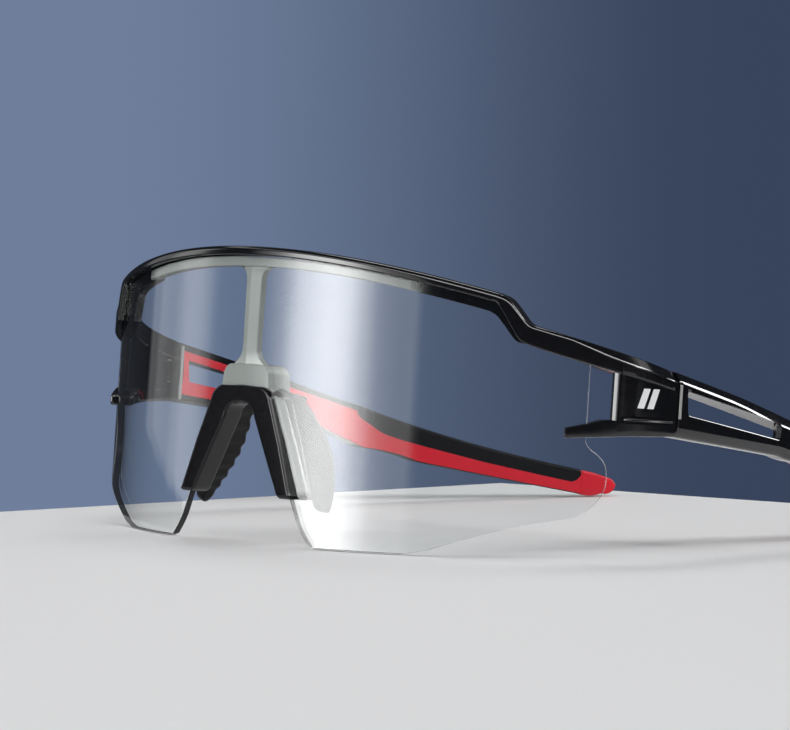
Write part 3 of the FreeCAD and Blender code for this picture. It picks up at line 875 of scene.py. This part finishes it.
# a pad's outline is (back, up) from its own middle, where the rear line bulges towards the face
PAD_PLACE = (
    Matrix.Translation((10.9, 5.2, 19.2))
    @ Matrix.Rotation(math.radians(-27), 4, "Y")
    @ Matrix.Rotation(math.radians(-10), 4, "Z")
)
PAD_FOOT, PAD_TOP, PAD_THICK, PAD_END = -13.9, 11.2, 1.08, 1.5
PAD_REAR = arc_line([(3.4, -13.9, 26), (7.7, -2.5, 24), (3.9, 11.2)])
PAD_FRONT = arc_line([(3.4, -13.9, -3), (0.75, -12.2), (0.75, 9.9, -3), (3.9, 11.2)])
PAD_RIB_PITCH, PAD_RIB_SLANT, PAD_RIB_DEPTH = 2.9, 0.7, 0.4


def pad_loops():
    """Level sections of a pad, from its foot to its top."""
    front, rear = ([(point.y, point.x) for point in outline] for outline in (PAD_FRONT, PAD_REAR))
    loops = []
    for level in evenly(PAD_FOOT + 0.05, PAD_TOP - 0.05, 0.3):
        close = trend(front, level)
        far = max(trend(rear, level), close + 0.3)
        ends = min(1, (level - PAD_FOOT) / PAD_END, (PAD_TOP - level) / PAD_END)
        thick = PAD_THICK * math.sqrt(max(0.06, ends * (2 - ends)))
        corners = [(-thick, close, 0.45), (thick, close, 0.45), (thick, far, 1.5), (-thick, far, 1.5)]
        ring = [(Vector((across, back, level)), reach) for across, back, reach in corners]
        loops.append(soft_ring(ring, 5))
    return refined(loops, 0.45)


def make_pad(name):
    """A drop-shaped cushion, with slanted grooves in the face towards the nose."""
    side = SIDES[name]
    loops = pad_loops()
    for point in (point for loop in loops for point in loop):
        inside = min(1, point.y - 1.0, (point.z + 12.5) / 2, (9.5 - point.z) / 2)
        if point.x < 0 and inside > 0:
            wave = 0.5 + 0.5 * math.sin(2 * math.pi * (point.z + PAD_RIB_SLANT * point.y) / PAD_RIB_PITCH)
            point.x += PAD_RIB_DEPTH * inside * wave
    placed = [[PAD_PLACE @ point for point in loop] for loop in loops]
    shape = bmesh.new()
    loft(shape, [[Vector((side * point.x, point.y, point.z)) for point in loop] for loop in placed])
    new_piece(f"pad_cushion_{name}", shape, f"pad_{name}", RUBBER, [f"nose_pad_{name}"])


# ---- the temples. Tables and outlines are (back, up), and a window's corners have a reach ----

BACK_START, TIP_BACK = 45.2, 166.0
OUTSIDE, INSIDE = (73.2, 53.2), (68.0, 50.2)
TEMPLE_TOP = arc_line([
    (45, 38.75), (66.7, 34.5), (80.8, 31.3), (98.7, 27.2, 500), (157.5, 16.3, -30), (164.0, 15.0, -2),
    (165.9, 13.4),
])
TEMPLE_FOOT = arc_line([
    (165.9, 13.4, -2.4), (162.5, 11.4, -6), (157.5, 10.9), (113.7, 16.1, 60), (98.5, 18.5), (86.4, 22.6, -30),
    (79, 23.6), (45, 26.15),
])[::-1]
TEMPLE_FALL = [(45, 1.9), (62, 1.9), (76, 2.4), (97, 1.9)]
INLAY_TOP = [
    (46.35, 37.0), (66.7, 33.1), (80.8, 29.9), (96.0, 26.6), (96.8, 25.2), (103.8, 21.8), (109.6, 20.5),
    (131.1, 16.9), (155.5, 13.4), (157, 15.4),
]
INLAY_FOOT = [(46.35, 27.7), (76, 25.2), (84, 22.9), (92, 17), (157, 8)]
INLAY_THICK, INLAY_HOLE_LONGER = 0.16, 0.6
WINDOW = [(48.4, 30.4, 0.6), (47.9, 35.0, 0.6), (78.0, 29.9, 0.6), (77.7, 26.75, 0.6)]
WINDOW_LIP = [(47.6, 29.7, 0.8), (47.0, 35.6, 0.8), (79.2, 30.35, 0.8), (78.9, 25.9, 0.8)]
LIP_SHARE = 0.34
ARM_START, ARM_END, GRIP_END = 45.5, 97.0, 157.0
GRIP_SOFTNESS = [(97, 0.3), (110, 1)]


def temple_across(arc, back):
    """How far a temple arc (across at the hinge, across at the tip) is from the middle."""
    reach, inward = TIP_BACK - BACK_START, arc[0] - arc[1]
    radius = (reach**2 + inward**2) / (2 * inward)
    return arc[0] - radius + math.sqrt(radius**2 - (back - BACK_START) ** 2)


def temple_loop(side, back, soft, grow=0.0, set_in=0.12):
    """A section of the temple: 0 for soft is bevelled and 1 is rounded.

    It may grow a little, and its inner face may be set in under the red sheet.
    """
    outer, inner = temple_across(OUTSIDE, back) + grow, temple_across(INSIDE, back) + set_in
    top, foot = trend(TEMPLE_TOP, back), trend(TEMPLE_FOOT, back)
    half = (top - foot) / 2
    fall = min(trend(TEMPLE_FALL, back) * (1 - 0.6 * soft), half * 0.8)
    drop = min(1.3 - 0.5 * soft, half * 0.8)
    crease = 0.6 + 0.5 * soft
    corners = [
        (outer, foot + drop, crease),
        (outer, top - fall, crease),
        (outer - 1.5, top + grow, crease),
        (inner, top + grow, 0.4 + 0.4 * soft),
        (inner, foot, 0.4),
        (outer - 1.1, foot, crease),
    ]
    return [Vector((side * across, back, up)) for across, up in soft_loop(corners)]


def window_shape(side, longer=0.0):
    """The hole in a temple: a lip on the outer face, and a rear wall that flares towards the inner face."""
    flared = [(48.4, 30.4, 0.6), (47.9, 35.0, 0.6), (81.6 + longer, 28.7, 0.6), (81.2 + longer, 26.4, 0.6)]
    window, lip, back = (soft_loop(outline) for outline in (WINDOW, WINDOW_LIP, flared))
    lip = [point.lerp(edge, LIP_SHARE) for point, edge in zip(window, lip)]
    loops = []
    for depth, outline in ((-0.9, lip), (-0.02, lip), (0.1, window), (1.3, window), (4.6, back), (9, back)):
        loops.append([Vector((depth, point.x, point.y)) for point in outline])
    loops = refined(loops, 2.0)
    for spot in (spot for loop in loops for spot in loop):
        spot.x = side * (temple_across(OUTSIDE, spot.y) - spot.x)
    shape = bmesh.new()
    loft(shape, loops)
    bmesh.ops.triangulate(shape, faces=shape.faces)
    return shape


TONGUE_RADIUS, TONGUE_LOW, TONGUE_HIGH = 1.88, 30.3, 34.6
TONGUE_ROOT_BACK, TONGUE_ROOT_UP, TONGUE_ROOT_SIZE = 45.0, 32.45, (3.0, 3.0, 4.3)


def make_arm(name):
    """The black outer shell, with its window and its hinge tongue."""
    side = SIDES[name]
    loops = [shrunk(temple_loop(side, ARM_START, 0), 0.2)]
    loops += [temple_loop(side, back, 0) for back in [45.7] + evenly(46.5, ARM_END - 2, 1.3) + [ARM_END]]
    shape = bmesh.new()
    loft(shape, loops)
    body, nodes = f"temple_{name}", [f"temple_arm_{name}"]
    piece = new_piece(f"temple_moulding_{name}", shape, body, BLACK, nodes)
    boolean(piece, window_shape(side), "DIFFERENCE")
    boolean(piece, cylinder(side, TONGUE_RADIUS, TONGUE_LOW, TONGUE_HIGH), "UNION")
    boolean(piece, cuboid((side * PIN.x, TONGUE_ROOT_BACK, TONGUE_ROOT_UP), TONGUE_ROOT_SIZE), "UNION")
    sharpen(piece, 32)


def make_inlay(name):
    """The red sheet on the temple's inner face."""
    side = SIDES[name]
    loops = []
    for back in evenly(46.35, 95.4, 1.3) + evenly(96, 98, 0.4) + evenly(99, GRIP_END + 0.3, 1.3):
        inner, top = temple_across(INSIDE, back), trend(INLAY_TOP, back)
        outer, foot = inner + INLAY_THICK, max(trend(INLAY_FOOT, back), trend(TEMPLE_FOOT, back) + 0.1)
        corners = [(inner, foot, 0.08), (inner, top, 0.08), (outer, top, 0.05), (outer, foot, 0.05)]
        loops.append([Vector((side * across, back, up)) for across, up in soft_loop(corners)])
    shape = bmesh.new()
    loft(shape, loops)
    body, nodes = f"temple_{name}", [f"temple_inlay_{name}"]
    piece = new_piece(f"inlay_red_{name}", shape, body, RED, nodes)
    boolean(piece, window_shape(side, INLAY_HOLE_LONGER), "DIFFERENCE")
    sharpen(piece)


def make_tip(name):
    """The red end of the temple."""
    places = evenly(GRIP_END, 162, 0.8) + evenly(162.4, 165.2, 0.4) + [165.5, 165.7, 165.82]
    shape = bmesh.new()
    loft(shape, [temple_loop(SIDES[name], back, 1, 0, 0) for back in places])
    new_piece(f"tip_red_{name}", shape, f"temple_{name}", RED)


# where the hinge gap's painted highlight lies: places back, thickness, and per face (reach, low, high)
STRIP_BACKS, STRIP_THICK = (45.52, 45.9, 46.25), 0.3
STRIP_FACES = ((0.02, 29.6, 36.2), (-5.12, 26.6, 38.0))


def make_painted_hinge_highlight(name):
    """Painted highlight at the hinge gap: grey strips across the temple's front end, on its outer face and
    its inner face.
    """
    side = SIDES[name]
    shape = bmesh.new()
    for reach, low, high in STRIP_FACES:
        loops = []
        for back in STRIP_BACKS:
            outer = temple_across(OUTSIDE, back) + reach
            inner = outer - STRIP_THICK
            corners = [(outer, low, 0.1), (outer, high, 0.1), (inner, high, 0.1), (inner, low, 0.1)]
            loops.append([Vector((side * across, back, up)) for across, up in soft_loop(corners)])
        loft(shape, loops)
    sharpen(new_piece(f"painted_hinge_highlight_{name}", shape, f"temple_{name}", PAINTED_HINGE_HIGHLIGHT))


def make_grip(name):
    """The rubber round the temple's rear part, slightly proud of the arm."""
    side = SIDES[name]
    loops = [shrunk(temple_loop(side, ARM_END + 0.02, 0.3), 0.1)]
    loops.append(temple_loop(side, ARM_END + 0.15, 0.3, 0.12))
    loops += [temple_loop(side, back, trend(GRIP_SOFTNESS, back), 0.12) for back in evenly(98, 156.6, 1.3)]
    loops.append(temple_loop(side, 156.9, 1, 0.05))
    shape = bmesh.new()
    loft(shape, loops)
    new_piece(f"grip_rubber_{name}", shape, f"temple_{name}", RUBBER, [f"ear_grip_{name}"])


# ---- the lens: the CAD sheet with softened edges, painted shade on its rim and a painted highlight on its front edge ----

# rounding width, rim faces' least radial spread, and the radii of the front edge's painted highlight
RIM_SOFTNESS, RIM_SPREAD = 0.14, 0.8
SOFT_EDGE_OUTER, SOFT_EDGE_INNER = LENS_RADIUS - 0.04, LENS_RADIUS - 0.5


def softened(node, name, width):
    """A copy of a CAD node with its edges rounded over, which then stands for it."""
    source = frame["nodes"][node]
    piece = bpy.data.objects.new(name, source.data.copy())
    scene.collection.objects.link(piece)
    shape = bmesh.new()
    shape.from_mesh(piece.data)
    bmesh.ops.remove_doubles(shape, verts=shape.verts, dist=1e-6)
    flat = math.radians(0.6)
    bmesh.ops.dissolve_limit(
        shape, angle_limit=flat, verts=shape.verts, edges=shape.edges, use_dissolve_boundaries=False
    )
    for face in shape.faces:
        face.smooth = True
    shape.to_mesh(piece.data)
    shape.free()
    bevel = piece.modifiers.new("edges", "BEVEL")
    bevel.width = width * MM
    bevel.segments = 3
    bevel.limit_method = "ANGLE"
    bevel.angle_limit = math.radians(25)
    bevel.use_clamp_overlap = False
    bevel.miter_outer = "MITER_ARC"
    weighted = piece.modifiers.new("normals", "WEIGHTED_NORMAL")
    weighted.keep_sharp = False
    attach(piece, source["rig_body"])
    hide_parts(node)
    apply_modifiers(piece)
    return piece


def make_lens():
    """The lens, with its edge face turned square to its surface all the way round."""
    piece = softened("shield_lens", "shield_lens_shell", RIM_SOFTNESS)
    mesh = piece.data
    mesh.materials.clear()
    for material in (LENS, RIM, RIM_PAINTED_HIGHLIGHT):
        mesh.materials.append(material)
    upright = TO_ROW.inverted()
    places = [upright @ vertex.co for vertex in mesh.vertices]
    away = [math.hypot(place.x, place.y - LENS_RADIUS) for place in places]
    for vertex, place, reach in zip(mesh.vertices, places, away):
        across = place.x * reach / LENS_RADIUS
        level = LENS_RADIUS - math.sqrt(max(0.0, reach * reach - across * across))
        vertex.co = TO_ROW @ Vector((across, level, place.z))
    # Faces across the sheet's thickness take the rim's painted shade, the softened front edge the painted
    # highlight.
    for face in mesh.polygons:
        low, high = min(away[index] for index in face.vertices), max(away[index] for index in face.vertices)
        if high - low > RIM_SPREAD:
            face.material_index = 1
        elif SOFT_EDGE_INNER < low < SOFT_EDGE_OUTER:
            face.material_index = 2


CORE_MATERIALS = {"hinge_screw": METAL, "hinge_insert": BRASS, "temple_core": METAL, "nose_pad_core": METAL}
PAIRED_MAKERS = (make_marks, make_ribs, make_painted_hinge_highlight, make_arm, make_inlay, make_tip, make_grip, make_pad)

make_camera()
make_studio()
make_frame()
make_carrier()
make_saddle()
make_lens()
for name in SIDES:
    for make_paired in PAIRED_MAKERS:
        make_paired(name)
    for node, material in CORE_MATERIALS.items():
        part = frame["nodes"][f"{node}_{name}"]
        part.data.materials.clear()
        part.data.materials.append(material)

for piece in pieces:
    even = piece.modifiers.new("even", "WEIGHTED_NORMAL")
    even.keep_sharp = True
